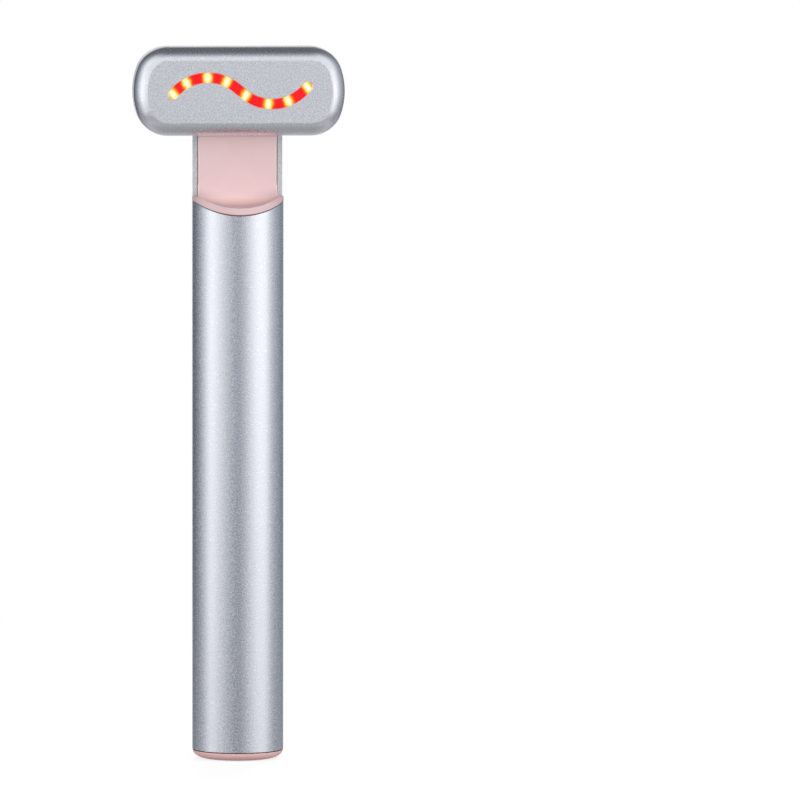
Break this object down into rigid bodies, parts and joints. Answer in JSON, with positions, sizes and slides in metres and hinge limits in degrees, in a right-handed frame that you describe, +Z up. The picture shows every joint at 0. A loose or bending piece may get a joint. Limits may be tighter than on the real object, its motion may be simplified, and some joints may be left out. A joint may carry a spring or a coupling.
{
  "type": "red light therapy wand",
  "caption": "Slim round handheld wand with a flat oblong swivelling head, a wavy red light strip in its face, a pink neck panel and base cap.",
  "frame": {"origin": "centre of the flat base that the wand stands on, on the handle tube's axis", "axes": "+Z up the handle towards the head, the lit face of the head and the scooped front face -Y, +X to the right seen from the front"},
  "size_m": [0.045, 0.0198, 0.1524],
  "materials": {
    "anodised_tube": "fine bead-blasted, silver anodised, satin",
    "anodised_shell": "bead-blasted, silver anodised, with a fine sparkle",
    "pink_plastic": "moulded, matte",
    "red_window": "translucent red, lit from behind",
    "lights": "lit, warm white to yellow",
    "indicator": "unlit light-emitting chip",
    "clear_plastic": "clear, frosted at the end",
    "circuit_board": "green solder mask",
    "chip": "moulded black",
    "ceramic_chip": "fired, with tinned ends",
    "ferrite": "dull grey",
    "white_plastic": "moulded, natural white",
    "black_plastic": "moulded black",
    "cell_sleeve": "shrink sleeve",
    "nickel": "nickel strip",
    "steel": "plated steel",
    "heavy_alloy": "sintered heavy alloy",
    "silicone": "moulded silicone",
    "heater": "amber film with an etched track",
    "wire_red": "red insulation",
    "wire_black": "black insulation"
  },
  "bodies": {
    "handle": {"handle_tube": "anodised_tube", "neck_insert": "pink_plastic", "base_cap": "pink_plastic", "base_seal": "silicone", "usb_socket": "steel", "socket_tongue": "black_plastic", "charge_board": "circuit_board", "charge_chip": "chip", "chassis": "white_plastic", "battery_cell": "cell_sleeve", "battery_tabs": "nickel", "battery_leads": "wire_red", "charge_leads": "wire_black", "main_board": "circuit_board", "board_screws": "steel", "control_chip": "chip", "boost_coil": "ferrite", "capacitors": "ceramic_chip", "harness_connector": "white_plastic", "tact_switch": "chip", "indicator_light": "indicator", "light_pipe": "clear_plastic", "motor_can": "steel", "motor_boot": "silicone", "motor_leads": "wire_red", "tube_contact": "nickel", "pivot_bush": "white_plastic", "disc_spring": "steel", "neck_harness": "wire_red"},
    "button": {"power_button": "pink_plastic", "switch_plunger": "black_plastic"},
    "rotor": {"motor_shaft": "steel", "motor_weight": "heavy_alloy"},
    "head": {"head_shell": "anodised_shell", "light_window": "red_window", "heater_film": "heater", "led_board": "circuit_board", "led_chips": "lights", "led_board_screws": "steel", "led_driver": "chip", "head_contact": "nickel", "head_cover": "pink_plastic", "pivot_shaft": "steel", "pivot_screws": "steel", "stop_washer": "steel", "retaining_clip": "steel", "head_harness": "wire_red"}
  },
  "joints": [
    {"name": "head_swivel", "type": "hinge", "parent": "handle", "child": "head", "pos_m": [0, 0.0017, 0.14292], "axis": [0, -1, 0], "range_deg": [-90, 90]},
    {"name": "power_button", "type": "slide", "parent": "handle", "child": "button", "axis": [0, -1, 0], "range_m": [0, 0.0005], "stiffness_N_per_m": 1500, "springref_m": -0.0002},
    {"name": "motor_spin", "type": "hinge", "parent": "handle", "child": "rotor", "pos_m": [0, -0.0029, 0.1], "axis": [0, 0, 1], "continuous": true}
  ]
}
